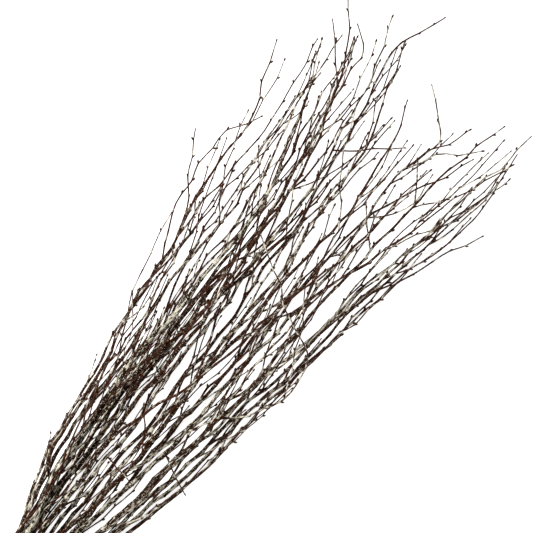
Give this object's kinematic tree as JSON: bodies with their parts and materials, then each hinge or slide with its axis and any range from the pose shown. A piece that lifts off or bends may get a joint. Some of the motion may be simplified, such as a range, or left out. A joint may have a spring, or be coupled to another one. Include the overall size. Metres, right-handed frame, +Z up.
{
  "type": "bunch of birch branches",
  "caption": "Dried birch branches with fine budded twigs, tied with twine near the cut ends; the bunch lies on its side, fanning out toward the tips, for vases and displays.",
  "frame": {"origin": "centre of the bounding box's underside, on the surface that the bunch lies on", "axes": "+X along the bunch from the cut ends to the tips, +Y to the left of that, +Z up off the surface"},
  "size_m": [1.0682, 0.3584, 0.1808],
  "materials": {
    "stem bark": "matt grey-brown bark with cream-white patches and small pale lenticels",
    "limb bark": "smoother reddish-brown bark with cream-white streaks and darker buds",
    "twine": "rough twisted jute"
  },
  "bodies": {
    "root": {"tie": "twine", "branch_01_stem": "stem bark", "branch_01_limb_1": "limb bark", "branch_01_limb_2": "limb bark", "branch_02_stem": "stem bark", "branch_02_limb_1": "limb bark", "branch_02_limb_2": "limb bark", "branch_03_stem": "stem bark", "branch_03_limb_1": "limb bark", "branch_03_limb_2": "limb bark", "branch_04_stem": "stem bark", "branch_04_limb_1": "limb bark", "branch_04_limb_2": "limb bark", "branch_05_stem": "stem bark", "branch_05_limb_1": "limb bark", "branch_05_limb_2": "limb bark", "branch_06_stem": "stem bark", "branch_06_limb_1": "limb bark", "branch_06_limb_2": "limb bark", "branch_07_stem": "stem bark", "branch_07_limb_1": "limb bark", "branch_07_limb_2": "limb bark", "branch_08_stem": "stem bark", "branch_08_limb_1": "limb bark", "branch_08_limb_2": "limb bark", "branch_09_stem": "stem bark", "branch_09_limb_1": "limb bark", "branch_09_limb_2": "limb bark", "branch_10_stem": "stem bark", "branch_10_limb_1": "limb bark", "branch_10_limb_2": "limb bark", "branch_11_stem": "stem bark", "branch_11_limb_1": "limb bark", "branch_11_limb_2": "limb bark", "branch_12_stem": "stem bark", "branch_12_limb_1": "limb bark", "branch_12_limb_2": "limb bark", "branch_13_stem": "stem bark", "branch_13_limb_1": "limb bark", "branch_13_limb_2": "limb bark", "branch_14_stem": "stem bark", "branch_14_limb_1": "limb bark", "branch_14_limb_2": "limb bark", "branch_15_stem": "stem bark", "branch_15_limb_1": "limb bark", "branch_15_limb_2": "limb bark", "branch_16_stem": "stem bark", "branch_16_limb_1": "limb bark", "branch_16_limb_2": "limb bark", "branch_17_stem": "stem bark", "branch_17_limb_1": "limb bark", "branch_17_limb_2": "limb bark", "branch_18_stem": "stem bark", "branch_18_limb_1": "limb bark", "branch_18_limb_2": "limb bark", "branch_19_stem": "stem bark", "branch_19_limb_1": "limb bark", "branch_19_limb_2": "limb bark"}
  },
  "joints": []
}
